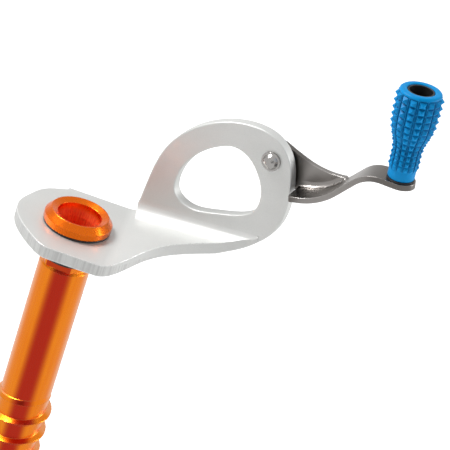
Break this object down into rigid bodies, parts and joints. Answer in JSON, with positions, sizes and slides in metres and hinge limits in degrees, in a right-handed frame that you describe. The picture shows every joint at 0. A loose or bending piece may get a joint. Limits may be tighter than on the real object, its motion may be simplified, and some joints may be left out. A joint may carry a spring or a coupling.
{
  "type": "ice screw",
  "caption": "Tubular ice screw with bent hanger, toothed bit, coarse thread, and a folding crank with a free-spinning knob",
  "frame": {"origin": "tube axis at the underside of the flat hanger plate, the plane that seats on the ice", "axes": "+Z along the tube, away from the cutting tip; +X along the hanger towards the karabiner eye"},
  "size_m": [0.1163, 0.0451, 0.2206],
  "materials": {
    "orange_anodised": "glossy orange anodised, drawn lengthwise",
    "bit_steel": "machined and plated steel",
    "hanger_aluminium": "satin clear-anodised plate with tumbled edges",
    "bush_polymer": "black acetal",
    "washer_polymer": "black polymer washer",
    "core_polymer": "black moulded plastic",
    "polished_steel": "polished stainless steel",
    "crank_steel": "tumbled stainless strip",
    "blue_polymer": "glossy blue moulded plastic"
  },
  "bodies": {
    "screw": {"tube": "orange_anodised", "cutting_bit": "bit_steel", "hanger": "hanger_aluminium", "bush_half_front": "bush_polymer", "bush_half_rear": "bush_polymer", "pivot_rivet": "polished_steel", "pivot_washer": "washer_polymer", "pivot_spring_washer": "polished_steel", "pivot_back_washer": "polished_steel"},
    "crank": {"crank_arm": "crank_steel", "knob_axle": "polished_steel", "knob_thrust_washer": "washer_polymer", "knob_retaining_ring": "polished_steel"},
    "knob": {"knob_core": "core_polymer", "knob_grip": "blue_polymer"}
  },
  "joints": [
    {"name": "crank_fold", "type": "hinge", "parent": "screw", "child": "crank", "pos_m": [0.05371, 0.0112, 0.04533], "axis": [-0.3031, -0.95, -0.0756], "range_deg": [0, 160]},
    {"name": "knob_spin", "type": "hinge", "parent": "crank", "child": "knob", "pos_m": [0.09076, -0.00726, 0.06003], "axis": [-0.128, -0.038, 0.991], "continuous": true}
  ]
}
